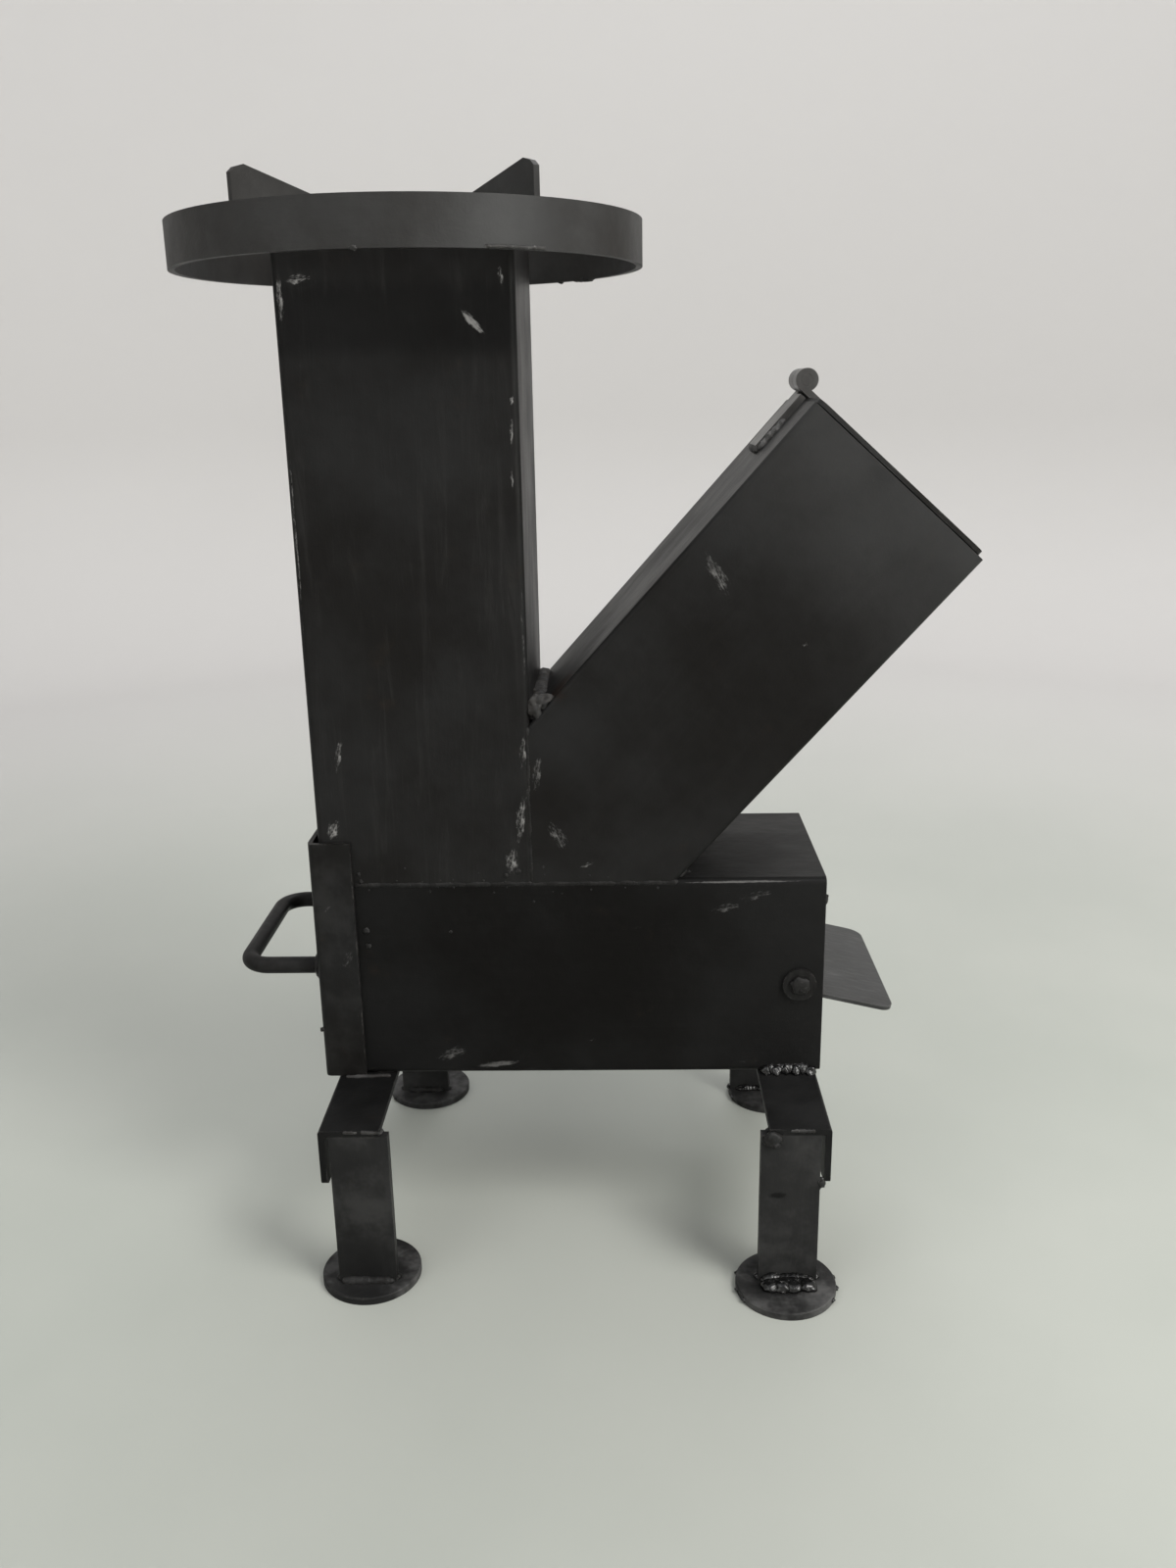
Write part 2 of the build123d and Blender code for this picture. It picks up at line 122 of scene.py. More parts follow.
# ---- shader building ---------------------------------------------------------------------
class Shader:
    """A material under construction; each method adds nodes and returns a socket."""

    def __init__(self, name):
        self.material = bpy.data.materials.new(name)
        self.material.use_nodes = True
        self.tree = self.material.node_tree
        self.surface = self.tree.nodes["Principled BSDF"]
        self.place = self.new("ShaderNodeTexCoord").outputs["Object"]

    def new(self, kind, **settings):
        node = self.tree.nodes.new(kind)
        for key, value in settings.items():
            setattr(node, key, value)
        return node

    def put(self, socket, value):
        """Link a socket, or set a constant."""
        if isinstance(value, bpy.types.NodeSocket):
            self.tree.links.new(value, socket)
        else:
            socket.default_value = value

    def math(self, operation, first, second):
        node = self.new("ShaderNodeMath", operation=operation)
        self.put(node.inputs[0], first)
        self.put(node.inputs[1], second)
        return node.outputs[0]

    def vector(self, operation, first, second):
        node = self.new("ShaderNodeVectorMath", operation=operation)
        self.put(node.inputs[0], first)
        self.put(node.inputs[1], second)
        return node.outputs["Value" if operation in ("LENGTH", "DOT_PRODUCT") else "Vector"]

    def split(self, vector):
        node = self.new("ShaderNodeSeparateXYZ")
        self.put(node.inputs[0], vector)
        return node.outputs

    def turned(self, centre, angle):
        """Object coordinates about a point, turned about Y."""
        node = self.new("ShaderNodeVectorRotate", rotation_type="Y_AXIS")
        self.put(node.inputs["Vector"], self.vector("SUBTRACT", self.place, tuple(centre)))
        node.inputs["Angle"].default_value = angle
        return node.outputs[0]

    def grain(self, vector, scale, detail=4.0, rough=0.55, warp=0.0):
        """Noise from 0 to 1; scale is one number, or one for each axis, in features per metre."""
        stretch = (scale, scale, scale) if isinstance(scale, (int, float)) else scale
        node = self.new("ShaderNodeTexNoise")
        self.put(node.inputs["Vector"], self.vector("MULTIPLY", vector, stretch))
        node.inputs["Scale"].default_value = 1.0
        node.inputs["Detail"].default_value = detail
        node.inputs["Roughness"].default_value = rough
        node.inputs["Distortion"].default_value = warp
        return node.outputs[0]

    def band(self, value, low, high, out_low=0.0, out_high=1.0):
        """Smooth step of a value between low and high."""
        node = self.new("ShaderNodeMapRange", interpolation_type="SMOOTHSTEP")
        self.put(node.inputs["Value"], value)
        node.inputs["From Min"].default_value = low
        node.inputs["From Max"].default_value = high
        node.inputs["To Min"].default_value = out_low
        node.inputs["To Max"].default_value = out_high
        return node.outputs[0]

    def blend(self, amount, first, second):
        node = self.new("ShaderNodeMix", data_type="RGBA")
        self.put(node.inputs["Factor"], amount)
        self.put(node.inputs[6], first)
        self.put(node.inputs[7], second)
        return node.outputs[2]

    def most(self, values):
        total = values[0]
        for value in values[1:]:
            total = self.math("MAXIMUM", total, value)
        return total

    def depth(self, local):
        """Depth under a square tube's outside, in metres; local x and y lie across the tube."""
        core = (TUBE / 2 - CORNER_RADIUS) * MM
        flat = self.vector("ABSOLUTE", self.vector("MULTIPLY", local, (1, 1, 0)), (0, 0, 0))
        beyond = self.vector("SUBTRACT", flat, (core, core, 0))
        round_corner = self.vector("LENGTH", self.vector("MAXIMUM", beyond, (0, 0, 0)), (0, 0, 0))
        sides = self.split(beyond)
        flat_side = self.math("MINIMUM", self.math("MAXIMUM", sides[0], sides[1]), 0)
        return self.math("SUBTRACT", CORNER_RADIUS * MM, self.math("ADD", round_corner, flat_side))

    def edges(self, radius, low, high):
        """Mask of the solid's sharp edges, from the normal rounded over a small radius."""
        bevel = self.new("ShaderNodeBevel", samples=4)
        bevel.inputs["Radius"].default_value = radius
        flat = self.new("ShaderNodeNewGeometry").outputs["Normal"]
        return self.band(self.vector("DOT_PRODUCT", bevel.outputs[0], flat), high, low)

    def bump(self, height, distance, under=None):
        node = self.new("ShaderNodeBump")
        node.inputs["Strength"].default_value = 1.0
        node.inputs["Distance"].default_value = distance
        self.put(node.inputs["Height"], height)
        if under is not None:
            self.put(node.inputs["Normal"], under)
        return node.outputs[0]

    def done(self, colour, roughness, normal=None, metallic=0.0, specular=0.5):
        self.put(self.surface.inputs["Base Color"], colour)
        self.put(self.surface.inputs["Roughness"], roughness)
        self.surface.inputs["Specular IOR Level"].default_value = specular
        self.put(self.surface.inputs["Metallic"], metallic)
        if normal is not None:
            self.put(self.surface.inputs["Normal"], normal)
        return self.material


def grey(value, warmth=0.0):
    """A linear grey; warmth above 0 leans it to brown."""
    return (value * (1 + warmth), value, value * (1 - warmth), 1.0)


RUST = (0.046, 0.030, 0.018, 1.0)
BURNT = (0.016, 0.009, 0.006, 1.0)
SOOT = grey(0.006)
CHALK_AND_GLINT = grey(0.30, 0.02)                        # rubbed marks, and pale specks painted as glints on weld beads
DUST = grey(0.105, 0.01)
BARE = grey(0.11, 0.05)                         # paint worn thin along an edge
MARK_DEPTH = 6                                  # how far a mark reaches behind the front, mm


def mark_mask(shader, mark):
    """A rubbed spot: streaks inside an ellipse that lies in the front face."""
    x, z, long, wide, lean, threshold = mark
    local = shader.turned(at(x, FRONT, z), math.radians(lean))
    size = (1 / (long * MM), 1 / (MARK_DEPTH * MM), 1 / (wide * MM))
    shape = shader.vector("MULTIPLY", local, size)
    inside = shader.band(shader.vector("LENGTH", shape, (0, 0, 0)), 1.0, 0.25)
    lengthwise = (1.3 / (long * MM), 150, 2.8 / (wide * MM))
    streaks = shader.grain(local, lengthwise, detail=6, rough=0.75, warp=0.8)
    broken = shader.grain(local, (330, 700, 1000), detail=5, rough=0.75, warp=0.5)
    streaks = shader.math("MULTIPLY", streaks, 0.5)
    broken = shader.math("MULTIPLY", broken, 0.5)
    ragged = shader.math("ADD", streaks, broken)
    spread = shader.math("SUBTRACT", 1.0, inside)
    ragged = shader.math("SUBTRACT", ragged, shader.math("MULTIPLY", spread, 0.30))
    solid = shader.band(ragged, threshold - 0.02, threshold + 0.16)
    return shader.math("MULTIPLY", shader.band(inside, 0.0, 0.25), solid)


def rubbed(shader, colour, marks, chalk):
    """Pale rubbed marks; chalk is how strongly they show."""
    spots = shader.most([mark_mask(shader, mark) for mark in marks])
    return shader.blend(shader.math("MULTIPLY", spots, chalk), colour, CHALK_AND_GLINT)


def pale_towards_end(shader, local, colour, tone, pale_end):
    """Paler colour towards one end of the piece; pale_end is where it starts, where it is full, and
    how much.
    """
    low, high, amount = pale_end
    along = shader.band(shader.split(local)[2], low * MM, high * MM)
    patchy = shader.band(shader.grain(local, 26, detail=5, rough=0.6), 0.2, 0.6, 0.6, 1.0)
    along = shader.math("MULTIPLY", shader.math("MULTIPLY", along, patchy), amount)
    return shader.blend(along, colour, grey(tone * 5))


def dusty(shader, local, colour, dust):
    patches = shader.band(shader.grain(local, 35, rough=0.7), 0.42, 0.7)
    return shader.blend(shader.math("MULTIPLY", patches, dust), colour, DUST)


def darker_band_at_height(shader, strokes, colour, tone, dark_band):
    """A darker band at a height; dark_band is its low and high edge and their softness."""
    height = shader.split(shader.place)[2]
    ragged = shader.math("ADD", height, shader.math("MULTIPLY", strokes, 0.012))
    low, high, soft = (value * MM for value in dark_band)
    upper = shader.band(ragged, high + soft, high)
    lower = shader.band(ragged, low, low + soft)
    inside = shader.math("MULTIPLY", shader.math("MULTIPLY", upper, lower), 0.62)
    return shader.blend(inside, colour, grey(tone * 0.4))


def blotted(shader, colour, soft_blot):
    """A soft-edged dark blot, for real stains and for painted shade alike; it is given by its
    middle, its radius in millimetres, and its colour.
    """
    place, radius, tint = soft_blot
    radius *= MM
    away = shader.vector("SUBTRACT", shader.place, tuple(place))
    away = shader.vector("MULTIPLY", away, (0.6, 1, 1.4))
    distance = shader.vector("LENGTH", away, (0, 0, 0))
    ragged = shader.grain(shader.place, 2.5 / radius, detail=5, rough=0.7)
    reach = shader.math("ADD", distance, shader.math("MULTIPLY", ragged, radius))
    blot_cover = shader.band(reach, radius * 1.5, radius * 0.9)
    return shader.blend(shader.math("MULTIPLY", blot_cover, 0.85), colour, tint)


def worn_at_edges(shader, colour, fine, edge):
    """Paint chipped and rubbed thin along sharp edges; edge is how strongly it shows."""
    sharp = shader.edges(0.0012, 0.75, 0.995)
    worn = shader.math("MULTIPLY", sharp, shader.band(fine, 0.35, 0.6, 0.0, edge))
    chips = shader.band(shader.grain(shader.place, 75, detail=4, rough=0.7), 0.44, 0.66)
    return shader.blend(shader.math("MULTIPLY", worn, chips), colour, BARE)


def sooty_inside(shader, local, colour, gloss):
    """Soot and scale on the inside faces of a square tube."""
    within = shader.band(shader.depth(local), 0.6 * MM, 1.3 * MM)
    flakes = shader.band(shader.grain(local, 55, detail=6, rough=0.75), 0.45, 0.7)
    colour = shader.blend(within, colour, shader.blend(flakes, SOOT, RUST))
    return colour, shader.math("ADD", gloss, shader.math("MULTIPLY", within, 0.35))


def paint(name, centre=(0, 0, 0), lean=0.0, tone=0.0125, warmth=0.03, streak=0.35, rough=0.42,
          shine=0.08, edge=0.5, dust=0.0, rust=0.15, marks=(), chalk=0.8, pale_end=None,
          dark_band=None, soft_blot=None, hollow=False):
    """Brushed-on black paint with its wear, and on some pieces painted sheen and shade.

    lean turns the brush marks, which else run up the piece; tone is how pale the paint is.
    """
    shader = Shader(name)
    local = shader.turned(centre, lean)
    cloud = shader.grain(local, 9, detail=5, rough=0.6)
    strokes = shader.grain(local, (150, 150, 13), detail=6, rough=0.75, warp=0.8)
    fine = shader.grain(local, 900, detail=3)
    uneven = shader.band(cloud, 0.34, 0.66)
    colour = shader.blend(uneven, grey(tone * 0.6, warmth * 2.5), grey(tone * 1.35))
    if pale_end:
        colour = pale_towards_end(shader, local, colour, tone, pale_end)
    lighter = shader.math("MULTIPLY", shader.band(strokes, 0.5, 0.74), streak)
    colour = shader.blend(lighter, colour, grey(tone * 3.4, warmth))
    if dust:
        colour = dusty(shader, local, colour, dust)
    blotches = shader.band(shader.grain(shader.place, 42, detail=6, rough=0.7), 0.6, 0.8)
    colour = shader.blend(shader.math("MULTIPLY", blotches, rust), colour, RUST)
    smooth = shader.grain(local, (30, 30, 20), detail=5)
    gloss = shader.band(smooth, 0.3, 0.7, rough - 0.05, rough + 0.07)
    if dark_band:
        colour = darker_band_at_height(shader, strokes, colour, tone, dark_band)
    if soft_blot:
        colour = blotted(shader, colour, soft_blot)
    if marks:
        colour = rubbed(shader, colour, marks, chalk)
    colour = worn_at_edges(shader, colour, fine, edge)
    if hollow:
        colour, gloss = sooty_inside(shader, local, colour, gloss)
    surface = shader.bump(strokes, 0.00012)
    surface = shader.bump(fine, 0.00006, surface)
    surface = shader.bump(shader.grain(local, 28, detail=3), 0.0009, surface)
    return shader.done(colour, gloss, surface, specular=shine)


def weld_metal(name, tone, rough, rust, glint=0.0, shine=0.2, coarse=160, relief=0.0006):
    """A painted or bare weld bead; rust is how brown it is, glint how much of it carries painted
    glints, pale specks that stand in for highlights.
    """
    shader = Shader(name)
    lumps = shader.grain(shader.place, coarse, detail=5, rough=0.65)
    fine = shader.grain(shader.place, 1200, detail=2)
    colour = shader.blend(shader.band(lumps, 0.35, 0.7), grey(tone * 0.6), grey(tone * 1.7))
    brown = shader.band(shader.grain(shader.place, 95, detail=6, rough=0.75), 0.36, 0.62)
    colour = shader.blend(shader.math("MULTIPLY", brown, rust), colour, RUST)
    if glint:
        # Painted glints: pale specks that stand in for highlights on the bead.
        pale = shader.band(shader.grain(shader.place, 320, detail=4, rough=0.8), 0.6, 0.72)
        colour = shader.blend(shader.math("MULTIPLY", pale, glint), colour, CHALK_AND_GLINT)
    gloss = shader.band(lumps, 0.3, 0.75, rough, rough + 0.16)
    surface = shader.bump(lumps, relief, shader.bump(fine, 0.00005))
    return shader.done(colour, gloss, surface, specular=shine)


def grate_iron():
    """Round bar with heat scale, soot and rust."""
    shader = Shader("grate_iron")
    scale = shader.grain(shader.place, 120, detail=6, rough=0.7)
    colour = shader.blend(shader.band(scale, 0.4, 0.65), grey(0.02, 0.1), RUST)
    pale = shader.band(shader.grain(shader.place, 60, detail=5), 0.6, 0.8)
    colour = shader.blend(shader.math("MULTIPLY", pale, 0.6), colour, grey(0.16, 0.06))
    rough = shader.band(scale, 0.3, 0.7, 0.55, 0.85)
    return shader.done(colour, rough, shader.bump(scale, 0.0006), metallic=0.25)


def damper_sheet():
    """Dull grey mill sheet under thin paint."""
    shader = Shader("damper_sheet")
    cloud = shader.grain(shader.place, 24, detail=6, rough=0.65)
    rolled = shader.grain(shader.place, (30, 420, 420), detail=3)
    colour = shader.blend(shader.band(cloud, 0.35, 0.7), grey(0.03, -0.01), grey(0.055, -0.01))
    streaks = shader.band(rolled, 0.5, 0.8)
    colour = shader.blend(shader.math("MULTIPLY", streaks, 0.4), colour, grey(0.12))
    soft_blot = shader.band(shader.grain(shader.place, 70, detail=6, rough=0.75), 0.62, 0.8)
    colour = shader.blend(shader.math("MULTIPLY", soft_blot, 0.3), colour, RUST)
    worn = shader.math("MULTIPLY", shader.edges(0.0009, 0.75, 0.99), 0.5)
    colour = shader.blend(worn, colour, grey(0.2, 0.03))
    rough = shader.band(cloud, 0.3, 0.7, 0.36, 0.52)
    surface = shader.bump(rolled, 0.00008, shader.bump(cloud, 0.0007))
    return shader.done(colour, rough, surface, metallic=0.25, specular=0.3)


def pale_floor():
    """Plain pale painted surface of the studio floor, lighter far from the stove."""
    shader = Shader("studio_floor")
    cloud = shader.grain(shader.place, 3, detail=4)
    uneven = shader.band(cloud, 0.3, 0.7)
    near = shader.blend(uneven, (0.39, 0.41, 0.375, 1), (0.43, 0.445, 0.41, 1))
    away = shader.band(shader.vector("LENGTH", shader.place, (0, 0, 0)), 0.3, 1.5)
    colour = shader.blend(away, near, (0.60, 0.59, 0.58, 1))
    return shader.done(colour, shader.band(cloud, 0.3, 0.7, 0.5, 0.62), specular=0.3)


# ---- materials on the CAD nodes ----------------------------------------------------------
# Rubbed marks on the front: x, z, half length, half width, lean in degrees, and a
# threshold that is lower where the mark is more solid.
CHIMNEY_MARKS = [
    (82, 429, 9.5, 2.6, -46, 0.36),
    (97, 398, 3.5, 1.6, 80, 0.44),
    (96.5, 385, 11, 1.5, 86, 0.46),
    (96, 366, 8, 1.3, 92, 0.47),
    (94, 447, 8, 2.6, 96, 0.48),
    (11, 447, 10, 4.5, 8, 0.47),
    (3, 440, 18, 3.0, 90, 0.46),
    (8, 209, 9, 5.5, 68, 0.45),
    (13, 245, 17, 3.4, 80, 0.49),
    (95, 214, 24, 5.0, 82, 0.48),
    (97, 246, 18, 4.0, 84, 0.50),
    (90, 193, 12, 6.5, 84, 0.47),
    (1.6, 345, 90, 1.5, 90, 0.50),
    (98.5, 300, 60, 1.2, 90, 0.54),
]
FEED_MARKS = [
    (103, 236, 18, 4.5, 82, 0.48),
    (184, 324, 19, 6.0, -62, 0.46),
    (222.6, 293, 3.5, 2.0, 0, 0.50),
    (112, 205, 15, 7.0, -64, 0.48),
    (125, 191, 7, 2.5, 20, 0.48),
    (245, 378, 6, 2.0, -42, 0.49),
]
BASE_MARKS = [
    # The first mark is a pale line along the top front edge: worn bare edge, and painted edge
    # highlight.
    (198, 181.6, 42, 0.8, 0.3, 0.36),
    (190, 169, 14, 5.0, 12, 0.48),
    (204, 175, 18, 5.0, 14, 0.505),
    (80, 88, 16, 2.6, 6, 0.38),
    (58, 94, 14, 6.0, 20, 0.46),
    (126, 101, 6, 2, 5, 0.54),
    (150, 160, 45, 3, 6, 0.58),
    (60, 158, 1.6, 1.2, 0, 0.40),
    (200, 89, 22, 3, -4, 0.56),
]
DOOR_MARKS = [
    (11, 146, 14, 7.0, 66, 0.45),
    (3, 171, 6, 2.6, 40, 0.43),
    (14, 120, 22, 4.5, 84, 0.49),
]


def tube_materials():
    """Each tube's brush marks run along it, and its inside is soot and scale."""
    middle = (base_low.z + base_high.z) / 2
    chimney = paint("chimney_paint", at(CHIMNEY_AXIS, 0, 0), streak=0.24, marks=CHIMNEY_MARKS,
                    dark_band=(419, 446, 9), hollow=True)
    # A dark blot on the base's top beside the feed's heel: soot, and painted contact shade where
    # the feed meets the base.
    heel = at(FEED_HEEL + 5, FRONT + 12, base_high.z)
    base = paint("base_paint", at(0, 0, middle), -math.pi / 2, tone=0.0068, streak=0.05,
                 marks=BASE_MARKS, chalk=0.30, pale_end=(130, 250, 0.16),
                 soft_blot=(heel, 15, SOOT), hollow=True)
    axis_point = MOUTH_TOP - FEED_OUT * TUBE / 2
    above_crotch = at(CROTCH.x + 13, FRONT + 12, CROTCH.z + 15)
    # The feed is lighter towards its mouth: painted sheen from the light on the right.
    feed = paint("feed_paint", at(*axis_point), FEED_ANGLE - math.pi / 2, streak=0.05,
                 marks=FEED_MARKS, chalk=0.42, pale_end=(-85, 5, 0.46),
                 soft_blot=(above_crotch, 14, BURNT), hollow=True)
    return {"chimney_tube": chimney, "base_tube": base, "feed_tube": feed}


def leg_materials():
    """Legs, rails and discs; the front right disc is dustier, and darkened round its weld by
    scorching and painted shade.
    """
    leg_low, leg_high = span("leg_front_right")
    smear = at(leg_low.x + 8, leg_low.y, leg_high.z - 31)
    legs = paint("leg_paint", tone=0.017, warmth=0.0, streak=0.06, dust=0.20,
                 soft_blot=(smear, 3, SOOT))
    rails = paint("rail_paint", tone=0.0085, warmth=0.0, streak=0.06, rough=0.45, shine=0.06,
                  dust=0.04)
    disc_low, disc_high = span("foot_front_right")
    # A dark blot on the disc round the weld pool: scorching, and painted shade under the weld.
    scorch_and_shade = at((disc_low.x + disc_high.x) / 2 - 2, leg_low.y - 4, disc_high.z)
    discs = paint("foot_paint", tone=0.018, warmth=0.0, streak=0.05, rough=0.50, edge=0.9,
                  dust=0.75)
    dusty_disc = paint("foot_paint_dusty", tone=0.026, warmth=0.0, streak=0.05, rough=0.45,
                       edge=0.9, dust=0.85, soft_blot=(scorch_and_shade, 11, SOOT))
    return [
        (legs, ("leg_front", "leg_rear")),
        (rails, ("leg_rail",)),
        (discs, ("foot_front_left", "foot_rear")),
        (dusty_disc, ("foot_front_right",)),
    ]


def other_materials():
    """Each material with the beginnings of the names of the nodes that it covers."""
    ring = paint("ring_paint", at(CHIMNEY_AXIS, 0, 0), math.pi / 2, tone=0.026, streak=0.05,
                 rough=0.52, shine=0.22, edge=0.2, dust=0.08, rust=0.1)
    door = paint("door_paint", tone=0.0095, warmth=0.05, streak=0.08, edge=0.8, dust=0.10,
                 rust=0.35, marks=DOOR_MARKS, chalk=0.35)
    lid = paint("lid_paint", at(*MOUTH_TOP), FEED_ANGLE, tone=0.022, streak=0.1, edge=0.9, rust=0.2)
    # The hinge's pale tone is painted highlight on its knuckle and on the leaf's front edge.
    hinge = paint("hinge_paint", tone=0.055, warmth=0.02, streak=0.1, rough=0.34, shine=0.3,
                  edge=0.9, rust=0.2)
    fastener = paint("fastener_paint", tone=0.013, rough=0.38, edge=0.8, rust=0.3)
    return [
        (ring, ("pot_ring", "pot_support")),
        (door, ("ash_door",)),
        (lid, ("feed_lid",)),
        (hinge, ("feed_hinge", "lid_hinge", "hinge_pin")),
        (fastener, ("damper_spindle", "damper_washer", "damper_nut")),
        (grate_iron(), ("fire_grate",)),
        (damper_sheet(), ("damper_plate",)),
    ]


def cad_materials():
    chosen = tube_materials()
    for material, starts in leg_materials() + other_materials():
        for node in frame["nodes"]:
            if node.startswith(starts):
                chosen[node] = material
    for node, material in chosen.items():
        mesh = frame["nodes"][node].data
        mesh.materials.clear()
        mesh.materials.append(material)


# ---- weld beads --------------------------------------------------------------------------
class Welds:
    """Collects beads and lumps, in stove millimetres, into one mesh that rides on a body."""

    SIDES = 12
    PITCH = 2.1                                 # spacing of the ripples along a bead
    STEP = PITCH / 6
    WANDER = 0.35                               # how far a bead strays from its path
    TAPER = 1.4                                 # length of its rounded ends, in half widths

    def __init__(self, seed):
        self.mesh = bmesh.new()
        self.random = random.Random(seed)

    def bead(self, points, up, wide, high, lumpy=0.18, ripple=0.16):
        """One bead along a path; up is the way it bulges, wide and high are its half sizes."""
        points = [Vector(point) for point in points]
        lengths = [(b - a).length for a, b in zip(points, points[1:])]
        total = sum(lengths)
        count = max(8, int(total / self.STEP))
        seed = self.random.uniform(0, 500)
        rings = []
        for index in range(count + 1):
            along = total * index / count
            centre, tangent = self.on_path(points, lengths, along)
            side = tangent.cross(Vector(up)).normalized()
            rise = side.cross(tangent).normalized()
            drift = noise.noise((along / 7, seed, 0)) * self.WANDER
            long_wave = noise.noise((along / 5, seed, 9))
            short_wave = noise.noise((along / 2, seed, 5))
            swell = 1 + lumpy * (long_wave + short_wave / 2)
            near_end = min(1, min(along, total - along) / (self.TAPER * wide))
            swell *= math.sqrt(max(0, 1 - (1 - near_end) ** 2))
            ring = []
            for step in range(self.SIDES):
                angle = 2 * math.pi * step / self.SIDES
                across = math.cos(angle)
                crescent = along + across * across * wide * 0.9
                phase = crescent / self.PITCH + noise.noise((seed, along / 6, 2))
                scale = swell * (1 + ripple * (0.5 - phase % 1))
                offset = side * (across * wide * scale + drift)
                offset += rise * math.sin(angle) * high * scale
                ring.append(self.mesh.verts.new(at(*(centre + offset))))
            rings.append(ring)
        self.skin(rings)

    def on_path(self, points, lengths, along):
        for start, end, length in zip(points, points[1:], lengths):
            if along <= length or end is points[-1]:
                tangent = (end - start) / length
                return start + tangent * min(along, length), tangent
            along -= length

    def skin(self, rings):
        for first, second in zip(rings, rings[1:]):
            for step in range(self.SIDES):
                after = (step + 1) % self.SIDES
                self.mesh.faces.new((first[step], first[after], second[after], second[step]))
        for ring in (rings[0], rings[-1]):
            middle = sum((vert.co for vert in ring), Vector()) / self.SIDES
            tip = self.mesh.verts.new(middle)
            for step in range(self.SIDES):
                self.mesh.faces.new((ring[step], ring[(step + 1) % self.SIDES], tip))

    def lump(self, place, size, lumpy):
        """A blob of weld or spatter; size is its radius along each axis."""
        made = bmesh.ops.create_icosphere(self.mesh, subdivisions=3, radius=1)
        seed = self.random.uniform(0, 500)
        for vert in made["verts"]:
            way = vert.co.copy()
            swell = 1 + lumpy * noise.noise(way * 1.6 + Vector((seed, 0, 0)))
            local = Vector(part * radius for part, radius in zip(way * swell, size))
            vert.co = at(*(Vector(place) + local))

    def finish(self, name, body, material):
        bmesh.ops.recalc_face_normals(self.mesh, faces=self.mesh.faces)
        for face in self.mesh.faces:
            face.smooth = True
        data = bpy.data.meshes.new(name)
        self.mesh.to_mesh(data)
        self.mesh.free()
        data.materials.append(material)
        piece = bpy.data.objects.new(name, data)
        bpy.context.scene.collection.objects.link(piece)
        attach(piece, body)


def seam_welds(flush, rusty):
    """Where the three tubes meet: flush beads fill the faces' grooves, full ones the corners."""
    seams = Welds(1)
    door_edge = door_high.x + 1.5
    depth = 1.2
    level = SEAM - 0.4
    upright = chimney_high.x - 1.0
    for face, out in ((FRONT, -1), (REAR, 1)):
        surface = face - out * depth
        seams.bead([(0.8, surface, level), (door_edge, surface, level)], (0, out, 0), 1.3, 1.1,
                   lumpy=0.1)
        seams.bead([(door_edge - 2, surface, level), (chimney_high.x, surface, level)],
                   (0, out, 0), 1.7, 1.55, lumpy=0.25, ripple=0.1)
        seams.bead([(chimney_high.x - 3, surface, level), (FEED_HEEL, surface, level)],
                   (0, out, 0), 1.6, 1.45, lumpy=0.25, ripple=0.1)
        seams.bead([(upright, surface, level), (upright, surface, CROTCH.z - 1)],
                   (0, out, 0), 1.5, 1.3, lumpy=0.1, ripple=0.05)
    inner = 3.5
    heel = FEED_HEEL + 1.0
    seams.bead([(heel, FRONT + inner, base_high.z + 0.8), (heel, REAR - inner, base_high.z + 0.8)],
               (-0.5, 0, 1), 3.0, 2.2, lumpy=0.3)
    seams.bead([(0.2, FRONT + 5, base_high.z), (0.2, REAR - 5, base_high.z)], (-1, 0, 0), 1.4, 1.0)
    seams.finish("weld_tube_seams", "body", flush)

    crotch = Welds(2)
    corner = CROTCH.x + 1.8
    crotch.bead([(corner, FRONT + inner, CROTCH.z + 3.0), (corner, REAR - inner, CROTCH.z + 3.0)],
                (-0.6, 0, 1), 4.8, 4.2, lumpy=0.5)
    crotch.lump((CROTCH.x + 2.8, FRONT + 2.4, CROTCH.z + 7.6), (3.6, 2.4, 5.0), 0.55)
    crotch.lump((CROTCH.x + 6.4, FRONT + 4.0, CROTCH.z + 10.6), (4.2, 3.4, 3.2), 0.55)
    crotch.finish("weld_crotch", "body", rusty)


def ring_point(angle, radius, z):
    """A point on a circle about the chimney's axis; 0 degrees is +x and -90 is the front."""
    turn = math.radians(angle)
    return Vector((CHIMNEY_AXIS + radius * math.cos(turn), radius * math.sin(turn), z))


def ring_arc(start, end, radius, z):
    steps = max(2, int(abs(end - start) / 3))
    turns = [start + (end - start) * step / steps for step in range(steps + 1)]
    return [ring_point(turn, radius, z) for turn in turns]


